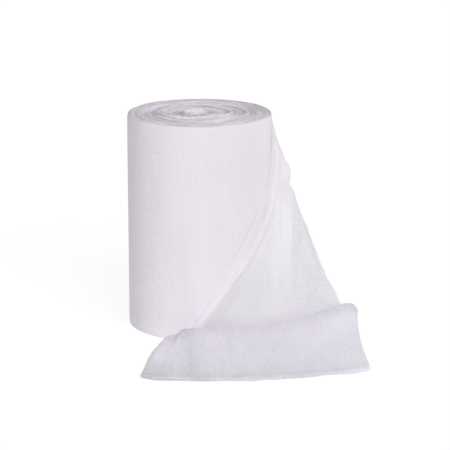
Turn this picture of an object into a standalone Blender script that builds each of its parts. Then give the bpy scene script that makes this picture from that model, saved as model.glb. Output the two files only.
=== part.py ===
"""Gauze bandage roll: a long strip of folded cotton gauze wound on itself and standing on one end, with its free end turned down over a slanting fold and laid on the surface as a low pad of back-and-forth layers.

Metres, +Z up. The origin is the centre of the roll's lower end. The front of the object faces -Y, and the free end comes off at its right, +X."""

import math

import bmesh
import bpy
import numpy as np

# ---- the wound roll
ROLL_RADIUS = 0.0770  # of the last whole turn
ROLL_HEIGHT = 0.2280  # the strip's width, standing on one selvedge
RIM_DROP = 0.0022  # how far the outermost turns are rubbed down at the upper end
FOOT_ROUND = 0.0012  # height of the soft edge at the lower end
ROLL_SIDES = 60

# The upper end: broad rings where the winding was tighter or slacker.
RINGS = (  # share of the radius, depth below the full height
    (0.05, 0.0016),
    (0.11, 0.0006),
    (0.17, 0.0030),
    (0.30, 0.0014),
    (0.44, 0.0024),
    (0.50, 0.0005),
    (0.56, 0.0025),
    (0.66, 0.0004),
    (0.71, 0.0026),
    (0.80, 0.0010),
    (0.95, 0.0000),
)

# ---- the strip
STRIP_WIDTH = 0.2270
SHEET = 0.0012  # thickness of the free strip
GAP = 0.0004  # clearance between the strip and what it lies on
STEP = SHEET + GAP  # how far the spiral falls in one turn
LEAVE_DEG = 150.0  # where the strip leaves the roll, from the front centre towards +X
EDGE_Z = 0.0006  # the lower selvedge stands this far above the surface
SLUMP = 0.0060  # how far the upper selvedge has slumped by the fold
LOW_LAYER = SHEET / 2 + 0.0002  # middle of the layer that lies on the surface

# ---- the slanting fold, a straight line on the unrolled side of the roll
FOLD_RISE = 1.447  # rise over run
FOLD_Z0 = 0.0298  # height of its outer edge at the front centre
FOLD_TABLE = (  # share of the strip's width, radius of the fold
    (0.00, 0.0024),
    (0.20, 0.0030),
    (0.50, 0.0040),
    (0.75, 0.0034),
    (0.90, 0.0018),
    (1.00, 0.0011),
)

# ---- the hanging sheet below the fold. Foot: where it meets the surface. Pulls: how far it keeps the fold's heading above and its own slope below. Belly: how far it stands out.
HANG_TABLE = (  # share, foot x, foot y, upper pull, lower pull, belly, slope
    (0.00, -0.0320, -0.1020, 0.004, 0.004, 0.000, 0.0),
    (0.08, -0.0170, -0.0980, 0.008, 0.006, 0.000, 0.1),
    (0.15, -0.0030, -0.0930, 0.012, 0.010, 0.001, 0.2),
    (0.30, 0.0270, -0.0850, 0.022, 0.020, 0.002, 0.4),
    (0.50, 0.0660, -0.0720, 0.036, 0.032, 0.004, 0.6),
    (0.65, 0.0940, -0.0620, 0.044, 0.040, 0.005, 0.7),
    (0.80, 0.1220, -0.0520, 0.050, 0.050, 0.008, 0.8),
    (0.92, 0.1450, -0.0430, 0.058, 0.060, 0.007, 0.9),
    (1.00, 0.1580, -0.0380, 0.078, 0.070, -0.004, 0.9),
)
BELLY_DEG = 78.0  # the way it bellies
FOOT_BEND = 0.0050  # run over which it turns under the pad

# The upright drape ridge in the hanging sheet, with a shallow trough on its right.
DRAPE_TABLE = (  # height, x of the ridge, how far it stands out
    (0.000, 0.0945, 0.0000),
    (0.040, 0.0945, 0.0012),
    (0.080, 0.0945, 0.0026),
    (0.120, 0.0945, 0.0036),
    (0.150, 0.0935, 0.0032),
    (0.168, 0.0900, 0.0048),
    (0.180, 0.0870, 0.0046),
    (0.195, 0.0840, 0.0024),
    (0.215, 0.0800, 0.0000),
    (0.230, 0.0780, 0.0000),
)
RIDGE_LEFT, RIDGE_RIGHT = 0.018, 0.010  # how far its two flanks reach
TROUGH_AWAY, TROUGH_WIDE, TROUGH_SHARE = 0.014, 0.007, 0.35

# ---- the low pad. Short: how far the cut end stops behind the front fold.
PAD_TABLE = (  # share, rear x, rear y, front x, front y, height, short
    (0.00, -0.0345, -0.1110, -0.0560, -0.1985, 0.0155, 0.0035),
    (0.05, -0.0255, -0.1080, -0.0460, -0.2040, 0.0162, 0.0032),
    (0.10, -0.0160, -0.1045, -0.0350, -0.2065, 0.0225, 0.0030),
    (0.15, -0.0050, -0.1000, -0.0230, -0.2070, 0.0225, 0.0030),
    (0.30, 0.0260, -0.0915, 0.0130, -0.2085, 0.0215, 0.0025),
    (0.50, 0.0680, -0.0790, 0.0590, -0.2045, 0.0208, 0.0015),
    (0.65, 0.0990, -0.0700, 0.0930, -0.1975, 0.0235, 0.0010),
    (0.80, 0.1300, -0.0600, 0.1270, -0.1900, 0.0300, 0.0012),
    (0.92, 0.1540, -0.0520, 0.1540, -0.1810, 0.0370, 0.0010),
    (1.00, 0.1655, -0.0480, 0.1715, -0.1725, 0.0330, 0.0020),
)
PAD_WAIST = 0.0040  # how far the pad's right side draws in halfway
FRONT_FOLD = 0.0016  # radius of the pad's front fold
REAR_FOLD_LONG = 0.0085  # how deep its rear fold may be, front to back

# ---- how finely each stretch of the strip is divided
THREADS = 26
WRAP, FOLD, HANG, FOOT, UNDER, FRONT, MIDDLE, REAR, TOP = 25, 6, 11, 3, 2, 3, 3, 6, 6

UP = np.array([0.0, 0.0, 1.0])


def smooth(x):
    x = min(1.0, max(0.0, x))
    return x * x * (3 - 2 * x)


def column(table, share, k):
    """Column k of a table at this share, on a smooth curve through its rows that never overshoots them."""
    xs = [row[0] for row in table]
    ys = [row[k] for row in table]
    n = len(xs)
    i = min(n - 2, max(0, sum(x <= share for x in xs) - 1))

    def slope(j):
        if j == 0:
            return (ys[1] - ys[0]) / (xs[1] - xs[0])
        if j == n - 1:
            return (ys[-1] - ys[-2]) / (xs[-1] - xs[-2])
        a = (ys[j] - ys[j - 1]) / (xs[j] - xs[j - 1])
        b = (ys[j + 1] - ys[j]) / (xs[j + 1] - xs[j])
        return 0.0 if a * b <= 0 else 2 * a * b / (a + b)

    h = xs[i + 1] - xs[i]
    t = (share - xs[i]) / h
    a, b = slope(i) * h, slope(i + 1) * h
    return (
        (2 * t**3 - 3 * t * t + 1) * ys[i]
        + (t**3 - 2 * t * t + t) * a
        + (3 * t * t - 2 * t**3) * ys[i + 1]
        + (t**3 - t * t) * b
    )


def turn_radius(phi):
    """Radius of the roll's side at this angle: a spiral that lies one step lower just under the leaving strip."""
    u = ((math.radians(LEAVE_DEG) - phi) % (2 * math.pi)) / (2 * math.pi)
    return ROLL_RADIUS - STEP * (1 - u)


def on_roll(s, z, lift):
    """A point of the unrolled side: run s from the front centre, height z, lift off the side."""
    phi = s / ROLL_RADIUS
    r = turn_radius(phi) + lift
    return np.array([r * math.sin(phi), -r * math.cos(phi), z])


def bezier(p0, p1, p2, p3, t):
    u = 1 - t
    return u**3 * p0 + 3 * u * u * t * p1 + 3 * u * t * t * p2 + t**3 * p3


def thread(share):
    """The middle of the strip along its length, at this share of its width, from where it leaves the roll to the cut end."""
    lift = GAP + SHEET / 2
    theta = math.atan(FOLD_RISE)
    cos_t, sin_t = math.cos(theta), math.sin(theta)
    z_leave = EDGE_Z + share * STRIP_WIDTH
    z = z_leave - SLUMP * smooth((share - 0.5) / 0.5)
    radius = column(FOLD_TABLE, share, 1)
    s_fold = (z - FOLD_Z0 + radius / cos_t) / FOLD_RISE
    points = []

    # round the right side of the roll
    s_leave = math.radians(LEAVE_DEG) * ROLL_RADIUS - GAP
    for i in range(WRAP):
        t = i / WRAP
        points.append(
            on_roll(
                s_leave + (s_fold - s_leave) * t,
                z_leave + (z - z_leave) * smooth(t),
                lift,
            )
        )

    # over the slanting fold, where each thread also runs down along it
    down = smooth(share / 0.10)
    for i in range(FOLD + 1):
        a = math.pi * i / FOLD
        ds = -sin_t * radius * math.sin(a) - cos_t**2 / sin_t * radius * a * down
        dz = cos_t * radius * (math.sin(a) - a) * down
        points.append(on_roll(s_fold + ds, z + dz, lift + radius * (1 - math.cos(a))))
    start = points[-1]
    heading = points[-1] - points[-2]
    heading = heading / np.linalg.norm(heading)

    # the pad's own section here, from its front fold back to its rear fold
    rear = np.array([column(PAD_TABLE, share, 1), column(PAD_TABLE, share, 2), 0.0])
    front = np.array([column(PAD_TABLE, share, 3), column(PAD_TABLE, share, 4), 0.0])
    depth = float(np.linalg.norm(rear - front))
    back = (rear - front) / depth

    # down the hanging sheet
    foot = np.array(
        [column(HANG_TABLE, share, 1), column(HANG_TABLE, share, 2), LOW_LAYER]
    )
    bend = FOOT_BEND * smooth(share / 0.12) + 0.0010
    rise = start + UP * 0.0001 - foot
    slope = column(HANG_TABLE, share, 6)
    lean = rise / np.linalg.norm(rise) * slope
    lean = lean + (UP * smooth(share / 0.10) + back * 0.3) * (1 - slope)
    lean = lean / np.linalg.norm(lean)
    knee = foot + lean * bend
    toe = foot - back * bend
    belly = math.radians(BELLY_DEG)
    outward = np.array([math.sin(belly), -math.cos(belly), 0.0])
    above = start + heading * column(HANG_TABLE, share, 3)
    above = above + outward * column(HANG_TABLE, share, 5)
    below = knee + lean * column(HANG_TABLE, share, 4)
    for i in range(1, HANG + 1):
        points.append(bezier(start, above, below, knee, i / HANG))
    for i in range(1, FOOT + 1):
        t = i / FOOT
        points.append(knee * (1 - t) ** 2 + foot * 2 * t * (1 - t) + toe * t * t)

    # forward under the pad, and round its front fold
    d_front = FRONT_FOLD + SHEET / 2
    first = front + back * d_front + UP * LOW_LAYER
    for i in range(1, UNDER + 1):
        points.append(toe + (first - toe) * i / UNDER)
    for i in range(1, FRONT + 1):
        a = math.pi * i / FRONT
        points.append(
            first
            - back * FRONT_FOLD * math.sin(a)
            + UP * FRONT_FOLD * (1 - math.cos(a))
        )

    # back to the rear, and round the rear fold
    waist = np.array([PAD_WAIST * smooth((share - 0.82) / 0.18), 0.0, 0.0])
    z_middle = LOW_LAYER + 2 * FRONT_FOLD
    z_top = column(PAD_TABLE, share, 5) - SHEET / 2
    z_rear = z_middle + 0.0006
    half = (z_top - z_rear) / 2
    long = min(half, REAR_FOLD_LONG)
    d_rear = depth - SHEET / 2 - long
    for i in range(1, MIDDLE + 1):
        t = i / MIDDLE
        points.append(
            front
            + back * (d_front + (d_rear - d_front) * t)
            + UP * (z_middle + (z_rear - z_middle) * t)
            - waist * math.sin(math.pi * t)
        )
    for i in range(1, REAR + 1):
        a = math.pi * i / REAR
        points.append(
            front
            + back * (d_rear + long * math.sin(a))
            + UP * (z_rear + half * (1 - math.cos(a)))
        )

    # forward over the top to the cut end
    z_end = z_middle + SHEET + GAP + 0.0002
    d_end = d_front + column(PAD_TABLE, share, 6)
    for i in range(1, TOP + 1):
        x = 1 - i / TOP
        fall = 0.55 * x + 0.45 * smooth(x)
        points.append(
            front
            + back * (d_end + (d_rear - d_end) * x)
            + UP * (z_end + (z_top - z_end) * fall)
            - waist * math.sin(math.pi * x)
        )
    return points


def normals(lines):
    along = np.gradient(lines, axis=1)
    across = np.gradient(lines, axis=0)
    normal = np.cross(along, across)
    return normal / np.linalg.norm(normal, axis=2, keepdims=True)


def strip(threads):
    """The middle of the free strip as rows of points, one row a thread, with the drape ridge in its hanging sheet."""
    lines = np.array([thread(i / (threads - 1)) for i in range(threads)])
    outward = normals(lines)
    first = WRAP + FOLD
    for i in range(threads):
        for j in range(first + 1, first + HANG):
            x, _, z = lines[i, j]
            away = x - column(DRAPE_TABLE, z, 1)
            reach = RIDGE_LEFT if away < 0 else RIDGE_RIGHT
            ridge = math.exp(-((away / reach) ** 2))
            ridge -= TROUGH_SHARE * math.exp(
                -(((away - TROUGH_AWAY) / TROUGH_WIDE) ** 2)
            )
            ends = smooth((j - first) / HANG / 0.15)
            lift = column(DRAPE_TABLE, z, 2) * ridge * ends
            lines[i, j] += outward[i, j] * lift
    return lines


def make_object(name, bm, colour, roughness):
    mesh = bpy.data.meshes.new(name)
    bmesh.ops.recalc_face_normals(bm, faces=bm.faces)
    bm.to_mesh(mesh)
    bm.free()
    obj = bpy.data.objects.new(name, mesh)
    bpy.context.collection.objects.link(obj)
    material = bpy.data.materials.new(name)
    material.use_nodes = True
    shader = material.node_tree.nodes["Principled BSDF"]
    shader.inputs["Base Color"].default_value = (*colour, 1.0)
    shader.inputs["Roughness"].default_value = roughness
    shader.inputs["Metallic"].default_value = 0.0
    mesh.materials.append(material)
    mesh.shade_smooth()
    mesh.set_sharp_from_angle(angle=math.radians(40))
    return obj


def wound_roll():
    """One solid of the wound strip: its outline in plan is the spiral's last turn, with the step where the free strip leaves."""
    bm = bmesh.new()
    angles = [
        math.radians(LEAVE_DEG) - 2 * math.pi * i / ROLL_SIDES
        for i in range(ROLL_SIDES + 1)
    ]
    radii = [
        ROLL_RADIUS - STEP * (1 - i / ROLL_SIDES) for i in range(ROLL_SIDES + 1)
    ]

    def ring(share, z, inset=0.0):
        return [
            bm.verts.new(
                ((r * share - inset) * math.sin(a), -(r * share - inset) * math.cos(a), z)
            )
            for a, r in zip(angles, radii)
        ]

    levels = [
        ring(1.0, 0.0, inset=FOOT_ROUND),
        ring(1.0, FOOT_ROUND),
        ring(1.0, ROLL_HEIGHT - RIM_DROP),
        ring(1.0, ROLL_HEIGHT - RIM_DROP * 0.4, inset=0.0008),
    ]
    levels += [ring(share, ROLL_HEIGHT - deep) for share, deep in reversed(RINGS)]
    for lower, upper in zip(levels, levels[1:]):
        for i in range(ROLL_SIDES + 1):
            j = (i + 1) % (ROLL_SIDES + 1)
            bm.faces.new((lower[i], lower[j], upper[j], upper[i]))
    for loop, z in ((levels[0], 0.0), (levels[-1], ROLL_HEIGHT - RINGS[0][1])):
        centre = bm.verts.new((0.0, 0.0, z))
        for i in range(ROLL_SIDES + 1):
            bm.faces.new((loop[i], loop[(i + 1) % (ROLL_SIDES + 1)], centre))
    return make_object("wound_roll", bm, (0.82, 0.80, 0.84), 0.9)


def free_strip():
    """The free strip as four closed sheets, end to end: the turn round the roll's right side with the slanting fold, the sheet that hangs from it, and the pad's two lower layers and its upper layer. Their two faces stand half a sheet either side of the threads."""
    lines = strip(THREADS)
    normal = normals(lines)
    fold_end = WRAP + FOLD
    foot_end = fold_end + HANG + FOOT
    middle_end = foot_end + UNDER + FRONT + MIDDLE
    last = lines.shape[1] - 1
    for name, first, final, colour in (
        ("folded_turn", 0, fold_end, (0.82, 0.80, 0.84)),
        ("hanging_sheet", fold_end, foot_end, (0.84, 0.83, 0.87)),
        ("pad_lower_layers", foot_end, middle_end, (0.74, 0.72, 0.77)),
        ("pad_upper_layer", middle_end, last, (0.76, 0.74, 0.79)),
    ):
        middle = lines[:, first : final + 1].copy()
        if first:  # a fine gap from the sheet before
            ahead = middle[:, 1] - middle[:, 0]
            ahead /= np.linalg.norm(ahead, axis=1, keepdims=True)
            middle[:, 0] += ahead * GAP
        closed_sheet(name, middle, normal[:, first : final + 1], colour)


def closed_sheet(name, middle, normal, colour):
    bm = bmesh.new()
    faces = []
    for side in (0.5, -0.5):
        shifted = middle + normal * SHEET * side
        shifted[:, :, 2] = np.maximum(shifted[:, :, 2], 0.0002)
        faces.append([[bm.verts.new(p) for p in row] for row in shifted])
    n, m = middle.shape[:2]
    for k, sheet in enumerate(faces):
        for i in range(n - 1):
            for j in range(m - 1):
                quad = (sheet[i][j], sheet[i + 1][j], sheet[i + 1][j + 1], sheet[i][j + 1])
                bm.faces.new(quad if k else quad[::-1])
    edges = [[[sheet[i][0] for i in range(n)] for sheet in faces]]
    edges.append([[sheet[n - 1][j] for j in range(m)] for sheet in faces])
    edges.append([[sheet[i][m - 1] for i in reversed(range(n))] for sheet in faces])
    edges.append([[sheet[0][j] for j in reversed(range(m))] for sheet in faces])
    for one, other in edges:
        for i in range(len(one) - 1):
            bm.faces.new((one[i], one[i + 1], other[i + 1], other[i]))
    return make_object(name, bm, colour, 0.95)


def main():
    for obj in list(bpy.data.objects):
        bpy.data.objects.remove(obj, do_unlink=True)
    wound_roll()
    free_strip()


main()
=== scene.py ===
import math

import bpy
import numpy as np
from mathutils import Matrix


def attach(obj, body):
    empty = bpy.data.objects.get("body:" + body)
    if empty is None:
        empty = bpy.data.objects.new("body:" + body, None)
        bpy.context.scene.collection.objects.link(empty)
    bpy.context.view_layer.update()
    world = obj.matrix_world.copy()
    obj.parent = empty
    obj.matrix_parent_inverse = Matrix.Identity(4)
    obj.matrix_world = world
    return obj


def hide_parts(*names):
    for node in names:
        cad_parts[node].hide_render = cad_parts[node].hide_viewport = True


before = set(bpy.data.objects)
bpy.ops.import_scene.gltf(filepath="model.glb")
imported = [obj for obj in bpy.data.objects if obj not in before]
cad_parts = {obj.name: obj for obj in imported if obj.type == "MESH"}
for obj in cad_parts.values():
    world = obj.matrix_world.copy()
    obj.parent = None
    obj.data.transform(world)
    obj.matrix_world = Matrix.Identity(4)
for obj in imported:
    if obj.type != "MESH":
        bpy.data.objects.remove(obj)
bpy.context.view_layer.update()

# ======================================================================
# The route of the strip, as in the solids: metres, +Z up, origin at the
# centre of the roll's lower end, front towards -Y.
# ======================================================================
ROLL_RADIUS = 0.0770
ROLL_HEIGHT = 0.2280
STRIP_WIDTH = 0.2270
SHEET = 0.0012
GAP = 0.0004
STEP = SHEET + GAP
LEAVE_DEG = 150.0
EDGE_Z = 0.0006
SLUMP = 0.0060
LOW_LAYER = SHEET / 2 + 0.0002
FOLD_RISE = 1.447
FOLD_Z0 = 0.0298
HANG_TABLE = (  # share, foot x, foot y, upper pull, lower pull, belly, slope
    (0.00, -0.0320, -0.1020, 0.004, 0.004, 0.000, 0.0),
    (0.08, -0.0170, -0.0980, 0.008, 0.006, 0.000, 0.1),
    (0.15, -0.0030, -0.0930, 0.012, 0.010, 0.001, 0.2),
    (0.30, 0.0270, -0.0850, 0.022, 0.020, 0.002, 0.4),
    (0.50, 0.0660, -0.0720, 0.036, 0.032, 0.004, 0.6),
    (0.65, 0.0940, -0.0620, 0.044, 0.040, 0.005, 0.7),
    (0.80, 0.1220, -0.0520, 0.050, 0.050, 0.008, 0.8),
    (0.92, 0.1450, -0.0430, 0.058, 0.060, 0.007, 0.9),
    (1.00, 0.1580, -0.0380, 0.078, 0.070, -0.004, 0.9),
)
BELLY_DEG = 78.0
FOOT_BEND = 0.0050
DRAPE_TABLE = (  # height, x of the ridge, how far it stands out
    (0.000, 0.0945, 0.0000),
    (0.040, 0.0945, 0.0012),
    (0.080, 0.0945, 0.0026),
    (0.120, 0.0945, 0.0036),
    (0.150, 0.0935, 0.0032),
    (0.168, 0.0900, 0.0048),
    (0.180, 0.0870, 0.0046),
    (0.195, 0.0840, 0.0024),
    (0.215, 0.0800, 0.0000),
    (0.230, 0.0780, 0.0000),
)
RIDGE_LEFT, RIDGE_RIGHT = 0.018, 0.010
CREST_TABLE = (  # share, how far past the fold the crest runs, painted light (above 0) and shade (below 0) between them
    (0.00, 0.0114, 0.100),
    (0.20, 0.0119, 0.105),
    (0.30, 0.0124, 0.060),
    (0.42, 0.0152, -0.030),
    (0.53, 0.0180, -0.075),
    (0.64, 0.0190, -0.085),
    (0.72, 0.0160, -0.080),
    (0.82, 0.0115, -0.065),
    (1.00, 0.0100, -0.030),
)
TROUGH_AWAY, TROUGH_WIDE, TROUGH_SHARE = 0.014, 0.007, 0.35
PAD_TABLE = (  # share, rear x, rear y, front x, front y, height, short
    (0.00, -0.0345, -0.1110, -0.0560, -0.1985, 0.0155, 0.0035),
    (0.02, -0.0310, -0.1098, -0.0520, -0.2010, 0.0192, 0.0034),
    (0.05, -0.0255, -0.1080, -0.0460, -0.2040, 0.0196, 0.0032),
    (0.08, -0.0200, -0.1060, -0.0396, -0.2055, 0.0204, 0.0031),
    (0.10, -0.0160, -0.1045, -0.0350, -0.2065, 0.0238, 0.0030),
    (0.15, -0.0050, -0.1000, -0.0230, -0.2070, 0.0238, 0.0030),
    (0.30, 0.0260, -0.0915, 0.0130, -0.2085, 0.0224, 0.0025),
    (0.50, 0.0680, -0.0790, 0.0590, -0.2045, 0.0217, 0.0015),
    (0.65, 0.0990, -0.0700, 0.0930, -0.1975, 0.0244, 0.0010),
    (0.80, 0.1300, -0.0600, 0.1270, -0.1900, 0.0306, 0.0012),
    (0.92, 0.1540, -0.0520, 0.1540, -0.1810, 0.0370, 0.0010),
    (1.00, 0.1648, -0.0480, 0.1707, -0.1725, 0.0330, 0.0020),
)
PAD_WAIST = 0.0040
FRONT_FOLD = 0.0016
REAR_FOLD_LONG = 0.0085

SIDE_LIGHT_AND_SHADE = (  # x, painted light (above 0) and shade (below 0) on the front of the wound part
    (-0.0780, -0.060),
    (-0.0690, -0.058),
    (-0.0625, -0.038),
    (-0.0565, 0.000),
    (-0.0350, 0.000),
    (-0.0100, -0.018),
    (0.0000, -0.025),
    (0.0080, -0.045),
    (0.0250, -0.068),
    (0.0440, -0.068),
    (0.0520, -0.052),
    (0.0580, -0.035),
    (0.0635, 0.000),
    (0.0700, 0.050),
    (0.0780, 0.070),
)

# ---- what only the looks need
CLOTH = 0.0008  # thickness of the shown strip, four plies of gauze
TURN = 0.00105  # how far apart the shown turns of the roll lie
START_DEG = 485.0  # the shown strip begins here, under its own last turn
FOLD_RADIUS = 0.00020  # the slanting fold is pressed flat
FOLD_CLOTH = 0.00030  # how thin the plies are pressed there
UP = np.array([0.0, 0.0, 1.0])

# how finely each stretch of the strip is divided
LAST, WRAP, FOLD, HANG, FOOT = 84, 34, 12, 64, 6
UNDER, FRONT, MIDDLE, REAR, TOP, LIP = 8, 6, 10, 14, 42, 8


def smooth(x):
    x = np.clip(x, 0.0, 1.0)
    return x * x * (3 - 2 * x)


def bump(x, centre, wide):
    return np.exp(-(((x - centre) / wide) ** 2))


def column(table, at, k):
    """Column k of a table at these places, on a smooth curve through its rows that never overshoots them."""
    xs = np.array([row[0] for row in table])
    ys = np.array([row[k] for row in table], float)
    n = len(xs)
    rise = np.diff(ys) / np.diff(xs)
    slopes = np.zeros(n)
    slopes[0], slopes[-1] = rise[0], rise[-1]
    for j in range(1, n - 1):
        a, b = rise[j - 1], rise[j]
        slopes[j] = 0.0 if a * b <= 0 else 2 * a * b / (a + b)
    at = np.clip(np.asarray(at, float), xs[0], xs[-1])
    i = np.clip(np.searchsorted(xs, at, side="right") - 1, 0, n - 2)
    h = xs[i + 1] - xs[i]
    t = (at - xs[i]) / h
    a, b = slopes[i] * h, slopes[i + 1] * h
    return (
        (2 * t**3 - 3 * t * t + 1) * ys[i]
        + (t**3 - 2 * t * t + t) * a
        + (3 * t * t - 2 * t**3) * ys[i + 1]
        + (t**3 - t * t) * b
    )


def noise(x, y, seed, cells=128):
    """Smooth noise from -1 to 1 whose cells are 1 wide."""
    grid = np.random.default_rng(seed).random((cells, cells)) * 2 - 1
    x, y = np.broadcast_arrays(np.asarray(x, float), np.asarray(y, float))
    xi, yi = np.floor(x).astype(int), np.floor(y).astype(int)
    fx, fy = x - xi, y - yi
    fx = fx**3 * (fx * (6 * fx - 15) + 10)
    fy = fy**3 * (fy * (6 * fy - 15) + 10)
    a, b = grid[xi % cells, yi % cells], grid[(xi + 1) % cells, yi % cells]
    c, d = grid[xi % cells, (yi + 1) % cells], grid[(xi + 1) % cells, (yi + 1) % cells]
    return (a * (1 - fx) + b * fx) * (1 - fy) + (c * (1 - fx) + d * fx) * fy


def turn_radius(phi):
    u = ((math.radians(LEAVE_DEG) - phi) % (2 * math.pi)) / (2 * math.pi)
    return ROLL_RADIUS - STEP * (1 - u)


def shown_radius(phi):
    """Radius of the middle of the shown strip on the roll. phi is unwound, and over LEAVE_DEG it is the turn below."""
    leave = math.radians(LEAVE_DEG)
    over = phi - leave
    r = ROLL_RADIUS - SHEET / 2
    return r - (TURN if over > 0 else STEP) * over / (2 * math.pi)


def pressed_radius(phi):
    """Radius of the middle of the strip where the fold presses it on the turn below."""
    return shown_radius(phi + 2 * math.pi) + CLOTH / 2 + FOLD_CLOTH / 2 + 0.00005


def at(phi, r, z):
    return np.array([r * math.sin(phi), -r * math.cos(phi), z])


def bezier(p0, p1, p2, p3, t):
    u = 1 - t
    return u**3 * p0 + 3 * u * u * t * p1 + 3 * u * t * t * p2 + t**3 * p3


def thread(share):
    """The middle of the strip along its length at this share of its width, from under its own last turn on the roll to the cut end."""
    theta = math.atan(FOLD_RISE)
    cos_t, sin_t = math.cos(theta), math.sin(theta)
    z_leave = EDGE_Z + share * STRIP_WIDTH
    z = z_leave - SLUMP * float(smooth((share - 0.5) / 0.5))
    radius = FOLD_RADIUS
    s_fold = (z - FOLD_Z0 + radius / cos_t) / FOLD_RISE
    points = []

    # the last whole turn of the roll
    start_phi, leave_phi = math.radians(START_DEG), math.radians(LEAVE_DEG)
    for i in range(LAST):
        phi = start_phi + (leave_phi - start_phi) * i / LAST
        points.append(at(phi, shown_radius(phi), z_leave))

    # round the right side of the roll
    s_leave = leave_phi * ROLL_RADIUS
    for i in range(WRAP):
        t = i / WRAP
        phi = (s_leave + (s_fold - s_leave) * t) / ROLL_RADIUS
        near = float(smooth(1 - (s_leave - s_fold) * (1 - t) / 0.022))
        r = shown_radius(phi) * (1 - near) + pressed_radius(phi) * near
        points.append(at(phi, r, z_leave + (z - z_leave) * float(smooth(t))))

    # over the slanting fold, where each thread also runs down along it
    down = float(smooth(share / 0.10))
    for i in range(FOLD + 1):
        a = math.pi * i / FOLD
        ds = -sin_t * radius * math.sin(a) - cos_t**2 / sin_t * radius * a * down
        dz = cos_t * radius * (math.sin(a) - a) * down
        phi = (s_fold + ds) / ROLL_RADIUS
        r = pressed_radius(phi) + radius * (1 - math.cos(a))
        points.append(at(phi, r, z + dz))
    start = points[-1]
    heading = points[-1] - points[-2]
    heading = heading / np.linalg.norm(heading)

    # the pad's own section here, from its front fold back to its rear fold
    rear = np.array([column(PAD_TABLE, share, 1), column(PAD_TABLE, share, 2), 0.0])
    front = np.array([column(PAD_TABLE, share, 3), column(PAD_TABLE, share, 4), 0.0])
    depth = float(np.linalg.norm(rear - front))
    back = (rear - front) / depth

    # down the hanging sheet
    foot = np.array(
        [column(HANG_TABLE, share, 1), column(HANG_TABLE, share, 2), LOW_LAYER]
    )
    bend = FOOT_BEND * float(smooth(share / 0.12)) + 0.0010
    rise = start + UP * 0.0001 - foot
    slope = float(column(HANG_TABLE, share, 6))
    lean = rise / np.linalg.norm(rise) * slope
    lean = lean + (UP * float(smooth(share / 0.10)) + back * 0.3) * (1 - slope)
    lean = lean / np.linalg.norm(lean)
    knee = foot + lean * bend
    toe = foot - back * bend
    belly = math.radians(BELLY_DEG)
    outward = np.array([math.sin(belly), -math.cos(belly), 0.0])
    above = start + heading * float(column(HANG_TABLE, share, 3))
    above = above + outward * float(column(HANG_TABLE, share, 5))
    below = knee + lean * float(column(HANG_TABLE, share, 4))
    for i in range(1, HANG + 1):
        t = i / HANG
        t = t * (0.55 + 0.45 * t)  # finer by the fold
        points.append(bezier(start, above, below, knee, t))
    for i in range(1, FOOT + 1):
        t = i / FOOT
        points.append(knee * (1 - t) ** 2 + foot * 2 * t * (1 - t) + toe * t * t)

    # forward under the pad, and round its front fold
    d_front = FRONT_FOLD + SHEET / 2
    first = front + back * d_front + UP * LOW_LAYER
    for i in range(1, UNDER + 1):
        points.append(toe + (first - toe) * i / UNDER)
    for i in range(1, FRONT + 1):
        a = math.pi * i / FRONT
        points.append(
            first
            - back * FRONT_FOLD * math.sin(a)
            + UP * FRONT_FOLD * (1 - math.cos(a))
        )

    # back to the rear, and round the rear fold
    waist = np.array([PAD_WAIST * float(smooth((share - 0.82) / 0.18)), 0.0, 0.0])
    z_middle = LOW_LAYER + 2 * FRONT_FOLD
    z_top = float(column(PAD_TABLE, share, 5)) - SHEET / 2
    z_rear = z_middle + 0.0006
    half = (z_top - z_rear) / 2
    long = min(half, REAR_FOLD_LONG)
    d_rear = depth - SHEET / 2 - long
    around = [float(column(PAD_TABLE, share + near, 5)) for near in (-0.06, -0.03, 0.0, 0.03, 0.06)]
    step = z_top + SHEET / 2 - sum(around) / 5
    for i in range(1, MIDDLE + 1):
        t = i / MIDDLE
        points.append(
            front
            + back * (d_front + (d_rear - d_front) * t)
            + UP * (z_middle + (z_rear - z_middle) * t)
            - waist * math.sin(math.pi * t)
        )
    for i in range(1, REAR + 1):
        a = math.pi * i / REAR
        points.append(
            front
            + back * (d_rear + long * math.sin(a))
            + UP * (z_rear + half * (1 - math.cos(a)))
        )

    # forward over the top to the cut end, which comes down over the front
    # fold, less far at the left
    over = float(smooth((share - 0.24) / 0.20))
    z_end = z_middle + CLOTH + 0.0003
    z_tip = 0.0011 + 0.0017 * (1 - over)
    d_flat = d_front + 0.0032
    for i in range(1, TOP + 1):
        x = 1 - i / TOP
        fall = 0.55 * x + 0.45 * float(smooth(x))
        sunk = step * fall * (1 - float(smooth((x - 0.45) / 0.55)))
        points.append(
            front
            + back * (d_flat + (d_rear - d_flat) * x)
            + UP * (z_end + (z_top - z_end) * fall - sunk)
            - waist * math.sin(math.pi * x)
        )
    for i in range(1, LIP + 1):
        t = i / LIP
        a = math.pi / 2 * t
        d = d_flat - (d_flat + 0.0012) * math.sin(a)
        z = z_end - (z_end - z_tip) * (1 - math.cos(a))
        points.append(front + back * d + UP * z)
    return points


def normals(lines):
    along = np.gradient(lines, axis=1)
    across = np.gradient(lines, axis=0)
    normal = np.cross(along, across)
    return normal / np.linalg.norm(normal, axis=2, keepdims=True)


# ======================================================================
# Meshes
# ======================================================================
def mesh_object(name, points, faces, attributes, material):
    mesh = bpy.data.meshes.new(name)
    mesh.from_pydata([tuple(p) for p in points], [], [tuple(f) for f in faces])
    mesh.validate(verbose=False)
    for key, values in attributes.items():
        values = np.asarray(values, np.float32)
        if values.ndim == 2:
            layer = mesh.attributes.new(key, "FLOAT_VECTOR", "POINT")
            layer.data.foreach_set("vector", values.ravel())
        else:
            layer = mesh.attributes.new(key, "FLOAT", "POINT")
            layer.data.foreach_set("value", values)
    mesh.shade_smooth()
    mesh.materials.append(material)
    obj = bpy.data.objects.new(name, mesh)
    bpy.context.scene.collection.objects.link(obj)
    return obj


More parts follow.
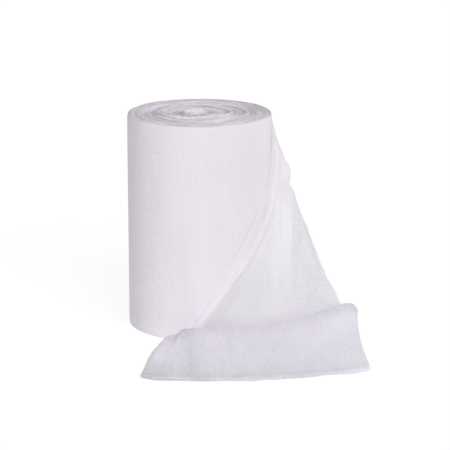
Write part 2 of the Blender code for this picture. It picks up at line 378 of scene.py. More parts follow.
def strip_shares():
    """Shares of the width: closer together by the two selvedges."""
    middle = np.linspace(0.022, 0.978, 110)
    edge = np.array([0.0, 0.004, 0.009, 0.015])
    return np.concatenate([edge, middle, 1 - edge[::-1]])


def gauze_strip(material):
    """The strip, in one piece: the roll's last whole turn, the slanting fold, the hanging sheet and the pad. Its strip attribute is the run along it and the place across it; its kind attribute is the tone, the sheerness and the pad's share."""
    shares = strip_shares()
    lines = np.array([thread(float(q)) for q in shares])
    n, m = lines.shape[:2]
    q = shares[:, None] * np.ones((1, m))
    j = np.arange(m)[None, :] * np.ones((n, 1))
    wide = q * STRIP_WIDTH
    fold0 = LAST + WRAP
    hang0 = fold0 + FOLD
    foot0 = hang0 + HANG
    under0 = foot0 + FOOT
    middle0 = under0 + UNDER + FRONT
    rear0 = middle0 + MIDDLE
    top0 = rear0 + REAR

    # ---- on the roll: the strip as wound, with its upper selvedge rubbed inwards
    outward = normals(lines)
    run = np.concatenate(
        [np.zeros((n, 1)), np.cumsum(np.linalg.norm(np.diff(lines, axis=1), axis=2), 1)],
        axis=1,
    )
    on_roll = smooth((fold0 - 2 - j) / 4)
    lift = 0.00010 * noise(run / 0.026, wide / 0.110, 3)
    lift += 0.00005 * noise(run / 0.009, wide / 0.050, 4)
    rim = smooth((q - 0.975) / 0.025)
    lift -= 0.0009 * rim**2
    foot_in = smooth((0.020 - q) / 0.020)
    lift -= 0.0005 * foot_in**2
    lines -= outward * (lift * on_roll)[..., None]
    lines[:, :, 2] += 0.0005 * noise(run / 0.016, wide * 0, 5) * rim * on_roll

    # ---- the hanging sheet
    hang = (j >= hang0) & (j < foot0)
    outward = normals(lines)
    x, z = lines[..., 0], lines[..., 2]
    past = run - run[:, hang0 : hang0 + 1]  # how far below the fold
    ends = smooth((j - hang0) / 8) * smooth((foot0 - j) / 8)
    away = x - column(DRAPE_TABLE, z, 1)
    away = away + 0.0020 * noise(z / 0.026, 0, 14) + 0.0008 * noise(z / 0.008, 0, 15)
    reach = np.where(away < 0, RIDGE_LEFT, RIDGE_RIGHT)
    ridge = np.exp(-((away / reach) ** 2))
    ridge -= TROUGH_SHARE * bump(away, TROUGH_AWAY, TROUGH_WIDE)
    lift = column(DRAPE_TABLE, z, 2) * ridge * smooth((j - hang0) / HANG / 0.15)
    # a sharper line down the ridge, and two slighter drape folds on its left
    low = smooth((0.20 - z) / 0.03)
    lift += 0.0004 * bump(away, -0.0010, 0.0030) * low * ends
    lift += 0.0008 * bump(x, 0.0800, 0.0042) * low * smooth((z - 0.03) / 0.04) * ends
    lift += 0.0006 * bump(x, 0.0720, 0.0050) * smooth((0.10 - z) / 0.05) * ends
    # the bead beside the fold, and the valley under it, deepest low down
    start = smooth(past / 0.006) * smooth(q / 0.05)
    crest = past / column(CREST_TABLE, q, 1)
    beyond = 0.25 + 0.40 * smooth((0.36 - q) / 0.14)
    bead = bump(crest, 1.0, np.where(crest < 1.0, 0.62, beyond))
    lift += 0.0011 * bead * start
    deep = smooth((0.62 - q) / 0.35)
    lift -= 0.0003 * deep * bump(crest, 1.45, 0.22) * start * smooth((q - 0.20) / 0.14)
    second = 0.0010 * smooth((0.30 - q) / 0.20)
    lift -= second * bump(past, 0.0260, 0.0050) * start
    # loose undulation, then the crêpe of the open weave towards the selvedge
    lift += 0.0009 * noise(x / 0.024, z / 0.070, 11) * ends * smooth((q - 0.1) / 0.3)
    lift += 0.0004 * noise(x / 0.009, z / 0.030, 12) * ends
    crepe = smooth((q - 0.45) / 0.3)
    lift += 0.00016 * noise(past / 0.0075, wide / 0.0042, 13) * ends * crepe
    # the doubled selvedge
    band = smooth((q - 0.972) / 0.006)
    lift += 0.0004 * band * ends - 0.0004 * bump(q, 0.970, 0.004) * ends
    lift = np.where(hang, lift, 0.0)
    lines = lines + outward * lift[..., None]

    # ---- the pad
    outward = normals(lines)
    x, y = lines[..., 0], lines[..., 1]
    t = np.clip((j - top0) / (TOP + LIP), 0, 1)
    rear = smooth((j - rear0) / REAR)
    top = (j > rear0) * rear
    loose = smooth((1 - t) / 0.35)  # it lies close to what is below by the front
    lift = 0.0012 * noise(x / 0.040, y / 0.050, 21) * loose
    lift += 0.0005 * noise(x / 0.016, y / 0.020, 22) * (0.25 + 0.75 * loose)
    lift += 0.00018 * noise(x / 0.0055, y / 0.0060, 23)
    # the soft trough at its left and the faint creases that run front to back
    trough = x + 0.0160 + 0.071 * (y + 0.105)
    lift -= 0.0013 * bump(trough, 0.0010, 0.0065) * (0.25 + 0.75 * loose) * smooth(t / 0.3)
    lift += 0.0012 * bump(q, 0.112, 0.014) * bump(t, 0.0, 0.10)
    crease = x - 0.0215 + 0.095 * (y + 0.100)
    lift += 0.0008 * bump(crease, 0.0, 0.0026) * loose
    lift -= 0.0008 * bump(crease, 0.0075, 0.0045) * loose
    lift = lift * top * smooth(q / 0.03) * smooth((1 - q) / 0.03)
    lines = lines + outward * lift[..., None]
    corner = smooth((q - 0.955) / 0.045) ** 2 * bump(j, rear0 + REAR, 12.0)
    lines[:, :, 2] -= 0.0030 * corner
    # its left end bulges a little, and the hanging selvedge bows out high up
    lines[:, :, 0] -= 0.0030 * smooth((0.14 - q) / 0.14) * bump(y, -0.158, 0.026) * (j >= foot0)
    bow = 0.0026 * bump(z, 0.1635, 0.008) - 0.0021 * bump(z, 0.1485, 0.0055)
    bow += 0.0026 * bump(z, 0.106, 0.014)
    bow -= 0.0016 * bump(z, 0.070, 0.012) + 0.0021 * bump(z, 0.053, 0.008)
    lines[:, :, 0] += bow * smooth((q - 0.80) / 0.12) * ends * hang
    # its front edge and cut end aren't straight
    waver = 0.0012 * noise(wide / 0.020, 0, 31) + 0.0006 * noise(wide / 0.007, 0, 32)
    frontal = bump(j, under0 + UNDER + FRONT / 2, 5.0) + smooth((t - 0.8) / 0.2) * top
    lines[:, :, 1] += waver * frontal
    lines[:, :, 2] += (
        0.0006 * smooth((t - 0.85) / 0.15) * top * noise(wide / 0.012, 0, 33)
    )

    # ---- two faces and four edges
    outward = normals(lines)
    faces_points = []
    thin = bump(past, 0.0, 0.0060) * (j < foot0)
    thick = (CLOTH * (1 - thin) + FOLD_CLOTH * thin)[..., None]
    for side in (0.5, -0.5):
        shifted = lines + outward * thick * side
        shifted[:, :, 2] = np.maximum(shifted[:, :, 2], 0.0002)
        faces_points.append(shifted.reshape(-1, 3))
    points = np.concatenate(faces_points)
    faces = []
    index = np.arange(n * m).reshape(n, m)
    a, b = index[:-1, :-1].ravel(), index[1:, :-1].ravel()
    c, d = index[1:, 1:].ravel(), index[:-1, 1:].ravel()
    faces.append(np.stack([a, d, c, b], 1))
    faces.append(np.stack([a, b, c, d], 1) + n * m)
    loop = np.concatenate(
        [index[:, 0], index[-1, 1:], index[-2::-1, -1], index[0, -2:0:-1]]
    )
    nxt = np.roll(loop, -1)
    faces.append(np.stack([loop, nxt, nxt + n * m, loop + n * m], 1))
    faces = np.concatenate(faces)
    # run along the strip and place across it; then the tone with its painted light and shade,
    # how sheer the strip hangs and how much it is the pad
    strip = np.stack([run, wide, q * 0], -1).reshape(-1, 3)
    sheer = smooth((j - hang0) / 8) * smooth((crest - 0.98) / 0.35) * (j < middle0)
    x, y, z = lines[..., 0], lines[..., 1], lines[..., 2]
    upper = smooth((q - 0.35) / 0.2)
    broken = 0.75 + 0.45 * noise(run / 0.02, wide / 0.009, 63)
    near = (j > fold0) * (j < foot0)
    # painted highlight along the crest, and painted light and shade between the fold and the crest
    tone = 1.0 + 0.074 * bump(crest, 0.98, 0.085) * hang * broken
    tone += 0.014 * smooth((crest - 0.5) / 0.4) * smooth((1.25 - crest) / 0.2) * hang
    middle = 0.42 + 0.13 * smooth((0.38 - q) / 0.12)
    tone += column(CREST_TABLE, q, 2) * bump(crest, middle, 0.42) * near
    # painted shade in the valleys below the crest, painted light past them on the upper part, and painted shade by the
    # fold high up
    tone -= 0.030 * bump(crest, 1.40, 0.25) * deep * smooth((q - 0.14) / 0.16) * hang
    tone -= 0.068 * bump(past, 0.0290, 0.0095) * smooth((0.36 - q) / 0.12) * hang
    tone -= 0.085 * bump(past, 0.0300, 0.0050) * smooth((0.24 - q) / 0.10) * hang
    tone -= 0.050 * bump(past, 0.0280, 0.0060) * bump(q, 0.330, 0.045) * hang
    tone += 0.035 * bump(crest, 1.45, 0.28) * bump(q, 0.54, 0.07) * hang
    tone += 0.035 * smooth((q - 0.68) / 0.06) * bump(past, 0.036, 0.014) * hang
    tone -= 0.030 * smooth((q - 0.66) / 0.08) * bump(past, 0.0030, 0.0050) * near
    # low down the fold lies flat on the turn below, and painted light on both sides of its outer edge hides the shadow
    # line there, so the edge hardly shows
    run_on = (START_DEG - (START_DEG - LEAVE_DEG) * j / LAST - 360.0) * math.pi / 180.0
    beside = run_on * ROLL_RADIUS - (wide + EDGE_Z - FOLD_Z0) / FOLD_RISE
    low_fold = smooth((0.54 - q) / 0.22)
    tone += 0.018 * bump(beside, -0.0002, 0.0011) * (j < LAST) * low_fold
    tone += (0.018 + 0.034 * smooth((0.34 - q) / 0.12)) * bump(past, 0.0, 0.0018) * near * low_fold
    # a painted highlight: the sheet is lightest in a soft band left of the ridge, with faint streaks in the cloth
    left = smooth((away + 0.022) / 0.009) * smooth((0.0030 - away) / 0.0055)
    strong = 0.006 + 0.036 * smooth((z - 0.030) / 0.060)
    streaks = noise(x / 0.0035, z / 0.060, 61) + 0.6 * noise(x / 0.0018, z / 0.030, 62)
    tone += (strong + 0.014 * streaks) * left * smooth((past - 0.010) / 0.008) * hang
    tone += 0.006 * streaks * hang * (1 - left)
    # painted light: the wound part is lighter towards its lower end and on its right, with painted light and shade
    # across its front
    facing = 0.35 + 0.65 * smooth((x / ROLL_RADIUS + 0.80) / 0.50)
    side = (0.012 + 0.090 * smooth((0.12 - z) / 0.12)) * facing
    right = smooth((x + 0.016) / 0.024)
    side += (0.036 * smooth((0.19 - z) / 0.08) + 0.040 * smooth((0.095 - z) / 0.05)) * right
    side += 0.038 * smooth((0.045 - z) / 0.02) * smooth((x + 0.030) / 0.030)
    side += 0.040 * bump(z, 0.036, 0.022) * bump(x, -0.016, 0.016)
    side += column(SIDE_LIGHT_AND_SHADE, x, 1) * smooth((0.02 - y) / 0.05)
    tone += side * (j < hang0)
    padded = (j >= foot0) * 1.0
    patches = noise(x / 0.011, y / 0.026, 71) + 0.7 * noise(x / 0.005, y / 0.013, 72)
    tone += 0.020 * patches * top
    # painted shade along the pad's rear fold, in a band behind it and towards its front edge
    tone -= 0.035 * bump(j, rear0 + REAR + 1, 4.0) * top + 0.030 * bump(t, 0.0, 0.17) * top
    rear_shade = smooth((q - 0.66) / 0.10) + 0.6 * smooth((q - 0.82) / 0.08) + 0.8 * bump(q, 0.29, 0.07)
    tone -= 0.036 * bump(t, 0.055, 0.095) * rear_shade * top
    tone -= 0.024 * smooth((t - 0.62) / 0.25) * top
    # painted shade in the trough at the pad's left
    tone -= 0.062 * bump(trough, 0.0020, 0.0100) * top
    tone -= 0.070 * bump(trough, 0.0000, 0.0070) * bump(t, 0.0, 0.22) * top
    # painted light on the pad's right part, its right front and the flat top of its left corner, painted shade at its
    # left front, and a painted highlight with painted shade beside it along the crease
    lit = smooth((q - 0.45) / 0.4) * smooth((0.55 - t) / 0.3)
    tone += (0.042 * smooth((q - 0.35) / 0.6) + 0.034 * lit) * top
    tone += 0.085 * bump(q, 0.060, 0.050) * bump(t, 0.38, 0.20) * top
    tone -= 0.062 * smooth((0.15 - q) / 0.05) * smooth((t - 0.55) / 0.15) * top
    tone += 0.030 * bump(crease, -0.0012, 0.0016) * smooth((0.85 - t) / 0.2) * top
    tone -= 0.020 * bump(crease, 0.0050, 0.0050) * smooth((0.85 - t) / 0.2) * top
    tone += (0.028 * smooth((q - 0.55) / 0.3) * smooth((t - 0.6) / 0.2)) * top
    # the turned-down cut end lies in its own shade
    tip = smooth((j - (top0 + TOP - 1)) / 4)
    shade = 0.060 + 0.025 * smooth((q - 0.22) / 0.10) + 0.075 * bump(q, 0.68, 0.17)
    tone -= shade * tip * smooth((1.10 - q) / 0.25)
    # painted shade on the foot of the sheet and the pad's lower layers
    tone -= 0.125 * (j >= foot0) * (j < rear0)
    # painted light on the crinkled sheet right of the ridge, and painted shade further right
    rough = smooth((away - 0.0005) / 0.006) * hang
    tone += 0.024 * rough - 0.026 * smooth((away - 0.012) / 0.010) * hang
    # painted shade high in the light band and left of the ridge low down, and painted light low on the sheet
    tone -= 0.020 * smooth((z - 0.120) / 0.015) * smooth((0.158 - z) / 0.010) * left * hang
    tone -= 0.012 * smooth((-0.014 - away) / 0.008) * smooth((0.10 - z) / 0.04) * hang
    tone += (0.056 - 0.026 * smooth((q - 0.55) / 0.15)) * smooth((0.060 - z) / 0.035) * hang
    # painted light keeps the sheet light right down to the pad
    over_pad = z - column(PAD_TABLE, q, 5)
    tone += 0.042 * smooth((0.011 - over_pad) / 0.009) * smooth((q - 0.28) / 0.10) * hang
    # the selvedge stands out a little; painted light makes it lightest, with painted shade lines beside it
    tone += 0.060 * smooth((q - 0.925) / 0.030) * smooth((z - 0.055) / 0.030) * hang
    tone += 0.036 * smooth((q - 0.835) / 0.050) * smooth((z - 0.098) / 0.022) * hang
    tone += 0.045 * smooth((q - 0.890) / 0.040) * bump(z, 0.146, 0.011) * hang
    tone += 0.015 * smooth((q - 0.955) / 0.015) * smooth((0.085 - z) / 0.030) * hang
    tone += 0.030 * bump(q, 0.985, 0.005) * hang
    tone += 0.075 * smooth((q - 0.968) / 0.010) * bump(z, 0.112, 0.028) * hang
    tone -= 0.060 * (bump(q, 0.972, 0.003) + smooth((q - 0.994) / 0.004)) * hang
    crinkled = 0.25 + 0.75 * rough
    crinkled = crinkled * smooth((past - 0.012) / 0.010) * hang
    crinkled = crinkled + (0.62 - 0.24 * smooth((q - 0.12) / 0.45)) * padded
    grazed = 0.25 + 0.75 * smooth((-0.030 - x) / 0.022) * smooth((0.050 - y) / 0.070)
    grazed = grazed * (j < fold0)
    kind = np.stack([tone, np.clip(sheer, 0, 1), padded], -1).reshape(-1, 3)
    obj = mesh_object(
        "gauze_strip",
        points,
        faces,
        {
            "strip": np.concatenate([strip, strip]),
            "kind": np.concatenate([kind, kind]),
            "crinkle": np.tile(crinkled.reshape(-1), 2),
            "grazed": np.tile(grazed.reshape(-1), 2),
        },
        material,
    )
    length = float(run[:, -1].mean())
    return obj, length


END_TABLE = (  # share of the radius, depth of the upper end below the full height
    (0.000, 0.0010),
    (0.160, 0.0012),
    (0.200, 0.0030),
    (0.240, 0.0028),
    (0.300, 0.0022),
    (0.340, 0.0012),
    (0.370, 0.0022),
    (0.440, 0.0024),
    (0.472, 0.0020),
    (0.486, 0.0000),
    (0.506, 0.0000),
    (0.520, 0.0016),
    (0.545, 0.0020),
    (0.562, 0.0010),
    (0.580, 0.0022),
    (0.640, 0.0024),
    (0.656, 0.0002),
    (0.676, 0.0002),
    (0.690, 0.0016),
    (0.740, 0.0018),
    (0.800, 0.0010),
    (0.860, 0.0012),
    (0.930, 0.0006),
    (0.970, 0.0002),
    (1.000, 0.0003),
)
END_TONE = (  # share of the radius, tone of the upper end, painted lighter on the raised rings and darker on the sunken ones as light and shade
    (0.000, 1.15),
    (0.140, 1.15),
    (0.190, 0.84),
    (0.235, 0.83),
    (0.262, 0.98),
    (0.285, 0.88),
    (0.315, 0.98),
    (0.340, 1.04),
    (0.360, 0.90),
    (0.400, 0.98),
    (0.440, 0.92),
    (0.478, 0.88),
    (0.488, 1.21),
    (0.504, 1.21),
    (0.516, 0.92),
    (0.550, 0.86),
    (0.562, 1.00),
    (0.580, 0.86),
    (0.648, 0.88),
    (0.658, 1.12),
    (0.674, 1.12),
    (0.690, 0.91),
    (0.760, 0.94),
    (0.800, 1.01),
    (0.860, 0.95),
    (0.930, 0.98),
    (0.965, 0.86),
    (0.985, 0.90),
    (1.000, 1.00),
)
END_SHIFT = (-0.0047, 0.0048)  # the inner rings lie this far off the centre


def gauze_roll(material):
    """The wound strip: a spiral of turns at both ends, each a rounded edge with a groove beside it."""
    sides = 132
    phi0 = math.radians(START_DEG)
    outer = shown_radius(phi0)
    turns = int(outer / TURN) - 1
    profile = ((0.50, 1.0), (0.30, 0.12), (0.12, 0.0), (-0.14, 0.0), (-0.32, 0.14))
    k = len(profile)
    away = np.array([p[0] for p in profile])
    deep = np.array([p[1] for p in profile])
    i = np.arange(sides)[:, None, None]
    turn = np.arange(turns)[None, :, None]
    wound = phi0 + 2 * math.pi * (turn + i / sides)  # unwound angle
    r = outer - TURN * (wound - phi0) / (2 * math.pi) + TURN * away[None, None, :]
    phi = wound + 0 * r
    flat_run = wound * r
    share = r / ROLL_RADIUS
    # turns that lie a little closer or further apart
    angle = np.mod(phi, 2 * math.pi)
    ca, sa = np.cos(angle), np.sin(angle)
    # the rings aren't quite round
    seen = share + 0.006 * noise(ca * 1.3 + 9, sa * 1.3 + 4, 41)
    seen += 0.003 * noise(ca * 3 + 5, sa * 3 + 2, 42)
    drop = column(END_TABLE, np.clip(seen, 0, 1), 1)
    calm = smooth((0.97 - share) / 0.04)
    drop = drop + 0.0004 * noise(ca * 2 + 7, sa * 2 + r / 0.0060, 43) * calm
    drop = drop + 0.0003 * noise(wound * 1.2, r * 0, 44) * calm
    drop = drop + 0.0002 * noise(wound * 6.0, r * 0, 45) * calm
    heart = smooth((0.158 - share) / 0.025)
    aside = smooth((0.72 - share) / 0.26)
    x = r * np.sin(phi) + END_SHIFT[0] * aside
    y = -r * np.cos(phi) + END_SHIFT[1] * (aside + 1.5 * smooth((0.34 - share) / 0.18))
    y = y + 0.0060 * smooth((ca + 0.1) / 0.8) * bump(share, 0.52, 0.24)
    crumple = np.abs(noise(x / 0.0052 + 3, y / 0.0036 + 8, 46))
    crumple = crumple + 0.5 * np.abs(noise(x / 0.0024, y / 0.0020, 47))
    drop = drop * (1 - heart) + heart * (0.0018 * crumple - 0.0004)
    groove = (0.0010 + 0.0006 * noise(ca * 2, sa * 2 + r / 0.006, 48)) * (1 - 0.85 * heart)
    drop = drop + groove * deep[None, None, :]
    z = ROLL_HEIGHT - np.maximum(drop, -0.0012)
    upper = np.stack([x, y, z], -1).reshape(sides, turns * k, 3)
    lower = upper.copy()
    lower[:, :, 2] = np.tile(0.0008 * deep, turns)[None, :]
    run = np.stack([flat_run, STRIP_WIDTH - drop * 2, r * 0], -1).reshape(-1, 3)
    paint = column(END_TONE, np.clip(seen, 0, 1), 1)
    patchy = noise(ca * 1.6 + 3, sa * 1.6 + r / 0.011, 51)
    paint = paint + 0.07 * patchy * calm * (1 - heart)
    paint = paint + 0.07 * noise(wound * 2.0, r * 0 + 2, 52) * calm
    # single turns are lighter or darker along part of their way round
    arcs = noise(ca * 1.9 + 11, sa * 1.9 + r / 0.0016, 53)
    paint = paint + 0.08 * arcs * (1 - heart)
    strokes = noise(wound * 12.0, r / 0.0009, 54)
    plain = bump(seen, 0.496, 0.016) + bump(seen, 0.666, 0.016)
    paint = paint + 0.16 * strokes * (1 - heart) * (1 - 0.8 * plain)
    # a painted highlight on the front arc of the raised ring and the front rim, painted shade on the far and outer
    # parts, and painted light and shade that vary round the rest
    front = smooth((ca - 0.3) / 0.4)
    paint = paint + 0.18 * bump(seen, 0.496, 0.012) * front
    paint = paint + 0.08 * bump(seen, 0.610, 0.030) * front * smooth((0.3 - sa) / 0.3)
    paint = paint + 0.12 * bump(share, 0.955, 0.030) * smooth((ca - 0.2) / 0.4)
    paint = paint - 0.10 * smooth((share - 0.82) / 0.12) * smooth((-ca - 0.1) / 0.5)
    paint = paint - 0.04 * bump(share, 0.80, 0.16) * bump(ca, -0.4, 0.5) * (sa > 0)
    paint = paint + 0.06 * bump(share, 0.80, 0.14) * bump(ca, 0.0, 0.5) * (sa < 0)
    paint = paint - 0.10 * bump(share, 0.84, 0.08) * smooth((ca - 0.2) / 0.4) * smooth((0.5 - sa) / 0.4)
    paint = paint - 0.09 * smooth((share - 0.92) / 0.05) * smooth((-ca - 0.4) / 0.4)
    inside = smooth((share - 0.20) / 0.03) * smooth((0.47 - share) / 0.03)
    paint = paint - 0.06 * inside * smooth((-sa - 0.1) / 0.4) * smooth((0.1 - ca) / 0.4)
    paint = paint + 0.08 * bump(share, 0.60, 0.07) * smooth((sa - 0.3) / 0.4) * (1 - 0.6 * front)
    paint = paint + 0.07 * inside * smooth((sa - 0.5) / 0.3)
    # painted shade in the grooves between turns and in the hollows of the crumpled heart
    paint = paint - 0.14 * deep[None, None, :] * (1 - 0.5 * heart)
    paint = paint + (0.10 - 0.60 * np.clip(crumple - 0.28, 0, 0.8)) * heart
    paint = paint.reshape(-1)
    rim = upper[:, 0].copy()
    rings = []
    for height in (0.0020, ROLL_HEIGHT - 0.0040):
        wall = rim.copy()
        wall[:, 2] = height
        rings.append(wall)

    count = turns * k
    points = [upper.reshape(-1, 3), lower.reshape(-1, 3), *rings]
    index = np.arange(sides * count).reshape(sides, count)
    size = sides * count
    faces = []

    def face(*corners, flip=False):
        faces.append(corners[::-1] if flip else corners)

    for which, flip in ((0, False), (size, True)):
        for s in range(sides - 1):
            for c in range(count - 1):
                face(
                    which + index[s, c],
                    which + index[s + 1, c],
                    which + index[s + 1, c + 1],
                    which + index[s, c + 1],
                    flip=flip,
                )
        # the seam, where each turn runs on into the next one in
        s = sides - 1
        for c in range(count - k - 1):
            face(
                which + index[s, c],
                which + index[0, c + k],
                which + index[0, c + k + 1],
                which + index[s, c + 1],
                flip=flip,
            )
        for c in range(k):
            face(
                which + index[s, 0],
                which + index[0, c],
                which + index[0, c + 1],
                flip=flip,
            )
        # the heart
        inner = [which + index[v, count - 1] for v in range(sides)]
        tail = [which + index[s, c] for c in range(count - 1, count - k - 2, -1)]
        points.append(np.array([[0.0, 0.0, ROLL_HEIGHT - 0.002 if not which else 0.0008]]))
        centre = 2 * size + 2 * sides + (1 if which else 0)
        for v in range(sides - 1):
            face(inner[v], inner[v + 1], centre, flip=flip)
        last = tail + [inner[0]]
        for u, v in zip(last, last[1:]):
            face(u, v, centre, flip=flip)
    low_ring, high_ring = 2 * size, 2 * size + sides
    for s in range(sides):
        t = (s + 1) % sides
        face(size + index[t, 0], size + index[s, 0], low_ring + s, low_ring + t, flip=True)
        face(low_ring + t, low_ring + s, high_ring + s, high_ring + t, flip=True)
        face(high_ring + t, high_ring + s, index[s, 0], index[t, 0], flip=True)
    points = np.concatenate(points)
    extra = len(points) - 2 * size
    strip = np.concatenate([run, run, np.zeros((extra, 3))])
    kind = np.tile([1.0, 0.0, 0.0], (len(points), 1))
    kind[:size, 0] = paint
    kind[size : 2 * size, 0] = 0.9
    crinkled = np.zeros(len(points))
    grazed = np.zeros(len(points))
    grazed[:size] = 1.3
    return mesh_object(
        "gauze_roll",
        points,
        faces,
        {"strip": strip, "kind": kind, "crinkle": crinkled, "grazed": grazed},
        material,
    )


# ======================================================================
# Materials
# ======================================================================
def nodes_of(name):
    material = bpy.data.materials.new(name)
    material.use_nodes = True
    tree = material.node_tree
    tree.nodes.clear()
    return material, tree


def gauze():
    material, tree = nodes_of("gauze")
    add, link = tree.nodes.new, tree.links.new

    def node(kind, **values):
        made = add(kind)
        for key, value in values.items():
            setattr(made, key, value)
        return made

    def maths(operation, a, b=None, c=None, clamp=False):
        made = node("ShaderNodeMath", operation=operation, use_clamp=clamp)
        for k, value in enumerate((a, b, c)):
            if value is None:
                continue
            if isinstance(value, (int, float)):
                made.inputs[k].default_value = value
            else:
                link(value, made.inputs[k])
        return made.outputs[0]

    def scaled(vector, by):
        made = node("ShaderNodeVectorMath", operation="MULTIPLY")
        link(vector, made.inputs[0])
        made.inputs[1].default_value = by
        return made.outputs[0]

    def noise_of(vector, detail=2.0, rough=0.5, scale=1.0):
        made = node("ShaderNodeTexNoise")
        link(vector, made.inputs["Vector"])
        made.inputs["Scale"].default_value = scale
        made.inputs["Detail"].default_value = detail
        made.inputs["Roughness"].default_value = rough
        return made.outputs["Fac"]

    out = node("ShaderNodeOutputMaterial")
    shader = node("ShaderNodeBsdfPrincipled")
    link(shader.outputs["BSDF"], out.inputs["Surface"])
    strip = node("ShaderNodeAttribute", attribute_name="strip").outputs["Vector"]
    kind = node("ShaderNodeAttribute", attribute_name="kind").outputs["Vector"]
    parts = node("ShaderNodeSeparateXYZ")
    link(strip, parts.inputs[0])
    kinds = node("ShaderNodeSeparateXYZ")
    link(kind, kinds.inputs[0])
    painted, sheer, padded = kinds.outputs[0], kinds.outputs[1], kinds.outputs[2]
    loose = node("ShaderNodeAttribute", attribute_name="crinkle").outputs["Fac"]
    grazed = node("ShaderNodeAttribute", attribute_name="grazed").outputs["Fac"]

    # threads: wefts run across the strip, warps along it, both a little crooked
    crooked = noise_of(scaled(strip, (160.0, 160.0, 1.0)), 3.0, 0.6)
    crooked = maths("MULTIPLY", maths("SUBTRACT", crooked, 0.5), 0.0040)

    def threads(axis, pitch):
        t = maths("ADD", parts.outputs[axis], crooked)
        t = maths("MULTIPLY", t, 2 * math.pi / pitch)
        return maths("MULTIPLY_ADD", maths("SINE", t), 0.5, 0.5)

    weft = threads(0, 0.00120)
    warp = threads(1, 0.00100)
    cloth = maths("MAXIMUM", weft, maths("MULTIPLY", warp, 0.8))
    hole = maths("SUBTRACT", 1.0, cloth, clamp=True)

    # crêpe: short ridges that run across the strip where it is wound, and a
    # rounder crinkle where it hangs or lies loose
    crepe = noise_of(scaled(strip, (560.0, 60.0, 1.0)), 3.0, 0.6)
    rounder = node("ShaderNodeCombineXYZ")
    along = maths("MULTIPLY_ADD", padded, -250.0, 520.0)
    link(maths("MULTIPLY", parts.outputs[0], along), rounder.inputs[0])
    link(maths("MULTIPLY", parts.outputs[1], 240.0), rounder.inputs[1])
    crinkle = noise_of(rounder.outputs[0], 3.0, 0.65)
    streak = noise_of(scaled(strip, (260.0, 18.0, 1.0)), 2.0, 0.55)
    cloud = noise_of(scaled(strip, (26.0, 20.0, 1.0)), 2.0, 0.5)
    grain = noise_of(scaled(strip, (640.0, 560.0, 1.0)), 2.0, 0.6)
    pebble = noise_of(scaled(strip, (400.0, 290.0, 1.0)), 2.0, 0.7)
    tick = noise_of(scaled(strip, (640.0, 210.0, 1.0)), 2.0, 0.6)
    free = maths("MAXIMUM", sheer, padded)
    wound = maths("SUBTRACT", 1.0, free, clamp=True)

    # colour
    tone = maths("MULTIPLY_ADD", maths("SUBTRACT", cloud, 0.5), 0.05, painted)
    drawn = maths("MULTIPLY", maths("SUBTRACT", streak, 0.5), 0.06)
    tone = maths("MULTIPLY_ADD", drawn, wound, tone)
    tone = maths("MULTIPLY_ADD", maths("SUBTRACT", grain, 0.5), 0.10, tone)
    lines = maths("ABSOLUTE", maths("MULTIPLY_ADD", crinkle, 4.0, -2.0), clamp=True)
    ragged = maths("MULTIPLY_ADD", lines, -0.020, -0.004)
    wild = maths("MULTIPLY_ADD", padded, -0.20, 0.70)
    ragged = maths("MULTIPLY_ADD", maths("SUBTRACT", crinkle, 0.5), wild, ragged)
    tone = maths("MULTIPLY_ADD", ragged, loose, tone)
    dotted = maths("MULTIPLY", maths("SUBTRACT", pebble, 0.5), 0.62)
    tone = maths("MULTIPLY_ADD", dotted, maths("MULTIPLY", loose, padded), tone)
    # the weave shows more where the light grazes it, and on the ends of the turns
    ticked = maths("MULTIPLY", maths("SUBTRACT", tick, 0.5), 0.26)
    tone = maths("MULTIPLY_ADD", ticked, grazed, tone)
    see = maths("MULTIPLY_ADD", sheer, 0.06, 0.03)
    tone = maths("SUBTRACT", tone, maths("MULTIPLY", hole, see))
    fleck = node("ShaderNodeVectorMath", operation="DISTANCE")
    link(strip, fleck.inputs[0])
    fleck.inputs[1].default_value = (0.2088, 0.1979, 0.0)
    fleck = maths("SUBTRACT", 1.0, maths("MULTIPLY", fleck.outputs["Value"], 1100.0), clamp=True)
    tone = maths("MULTIPLY_ADD", fleck, -0.45, tone)
    wound_tint = node("ShaderNodeMix", data_type="RGBA")
    link(sheer, wound_tint.inputs["Factor"])
    wound_tint.inputs["A"].default_value = (0.845, 0.798, 0.858, 1.0)
    wound_tint.inputs["B"].default_value = (0.838, 0.815, 0.861, 1.0)
    tint = node("ShaderNodeMix", data_type="RGBA")
    link(padded, tint.inputs["Factor"])
    link(wound_tint.outputs["Result"], tint.inputs["A"])
    tint.inputs["B"].default_value = (0.805, 0.776, 0.845, 1.0)
    colour = node("ShaderNodeMix", data_type="RGBA", blend_type="MULTIPLY")
    colour.inputs["Factor"].default_value = 1.0
    link(tint.outputs["Result"], colour.inputs["A"])
    grey = node("ShaderNodeCombineColor")
    for k in range(3):
        link(tone, grey.inputs[k])
    link(grey.outputs[0], colour.inputs["B"])
    link(colour.outputs["Result"], shader.inputs["Base Color"])

    # relief
    height = maths("MULTIPLY", cloth, maths("MULTIPLY_ADD", sheer, 0.15, 0.20))
    height = maths("MULTIPLY_ADD", maths("MULTIPLY", crepe, wound), 0.9, height)
    height = maths("MULTIPLY_ADD", maths("MULTIPLY", streak, wound), 0.8, height)
    height = maths("MULTIPLY_ADD", maths("MULTIPLY", crinkle, loose), 4.0, height)
    height = maths("MULTIPLY_ADD", maths("MULTIPLY", lines, loose), 1.0, height)
    height = maths("MULTIPLY_ADD", maths("MULTIPLY", pebble, padded), 2.8, height)
    height = maths("MULTIPLY_ADD", grain, 0.35, height)
    relief = node("ShaderNodeBump")
    relief.inputs["Strength"].default_value = 0.55
    relief.inputs["Distance"].default_value = 0.0005
    link(height, relief.inputs["Height"])
    link(relief.outputs["Normal"], shader.inputs["Normal"])

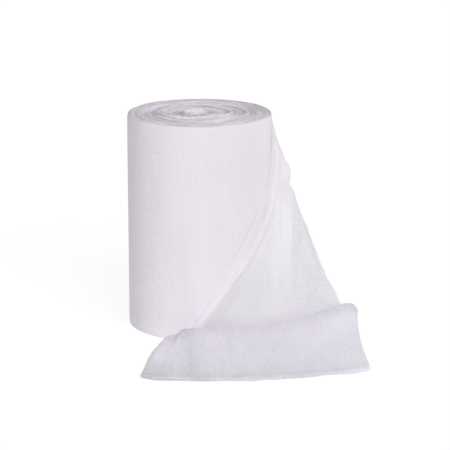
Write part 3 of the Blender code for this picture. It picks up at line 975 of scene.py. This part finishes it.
    rough = maths("MULTIPLY_ADD", grain, 0.12, 0.82, clamp=True)
    link(rough, shader.inputs["Roughness"])
    shader.inputs["Specular IOR Level"].default_value = 0.25
    shader.inputs["Sheen Weight"].default_value = 0.03
    shader.inputs["Sheen Roughness"].default_value = 0.5
    return material


def floor_material():
    material, tree = nodes_of("pale_floor")
    add, link = tree.nodes.new, tree.links.new
    out = add("ShaderNodeOutputMaterial")
    mix = add("ShaderNodeAddShader")
    diffuse = add("ShaderNodeBsdfDiffuse")
    diffuse.inputs["Color"].default_value = (0.28, 0.28, 0.28, 1.0)
    glow = add("ShaderNodeEmission")
    glow.inputs["Color"].default_value = (1.0, 1.0, 1.0, 1.0)
    glow.inputs["Strength"].default_value = 0.79
    link(diffuse.outputs[0], mix.inputs[0])
    link(glow.outputs[0], mix.inputs[1])
    link(mix.outputs[0], out.inputs["Surface"])
    return material


# ======================================================================
# Assembly
# ======================================================================
cloth = gauze()
strip, strip_length = gauze_strip(cloth)
roll = gauze_roll(cloth)
for piece in (strip, roll):
    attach(piece, "root")
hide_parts("wound_roll")
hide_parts(*[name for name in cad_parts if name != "wound_roll"])

# ---- stage
floor_mesh = bpy.data.meshes.new("pale_floor")
wide = 12.0
floor_mesh.from_pydata(
    [(-wide, -wide, 0), (wide, -wide, 0), (wide, wide, 0), (-wide, wide, 0)],
    [],
    [(0, 1, 2, 3)],
)
floor_mesh.materials.append(floor_material())
floor = bpy.data.objects.new("pale_floor", floor_mesh)
bpy.context.scene.collection.objects.link(floor)

world = bpy.data.worlds.new("studio")
bpy.context.scene.world = world
world.use_nodes = True
background = world.node_tree.nodes["Background"]
background.inputs["Color"].default_value = (1.0, 1.0, 1.0, 1.0)
background.inputs["Strength"].default_value = 0.23


def far_light(name, turn_deg, high_deg, strength, spread_deg):
    """A large light far off: turn_deg from the front towards +X, high_deg above the surface."""
    light = bpy.data.lights.new(name, "SUN")
    light.energy = strength
    light.angle = math.radians(spread_deg)
    obj = bpy.data.objects.new(name, light)
    bpy.context.scene.collection.objects.link(obj)
    obj.rotation_euler = (math.radians(90 - high_deg), 0.0, math.radians(turn_deg))
    return obj


far_light("key", 22.0, 32.0, 1.24, 40.0)
far_light("overhead", 10.0, 78.0, 1.12, 70.0)

camera_data = bpy.data.cameras.new("camera")
camera_data.sensor_width = 36.0
camera_data.lens = 165.28
camera_data.clip_start = 0.05
camera_data.clip_end = 60.0
camera = bpy.data.objects.new("camera", camera_data)
bpy.context.scene.collection.objects.link(camera)
camera.location = (0.0265, -2.1325, 0.6518)
camera.rotation_euler = (math.radians(90 - 14.363), 0.0, 0.0)
bpy.context.scene.camera = camera
bpy.context.scene.view_settings.view_transform = "Standard"
bpy.context.scene.view_settings.look = "None"
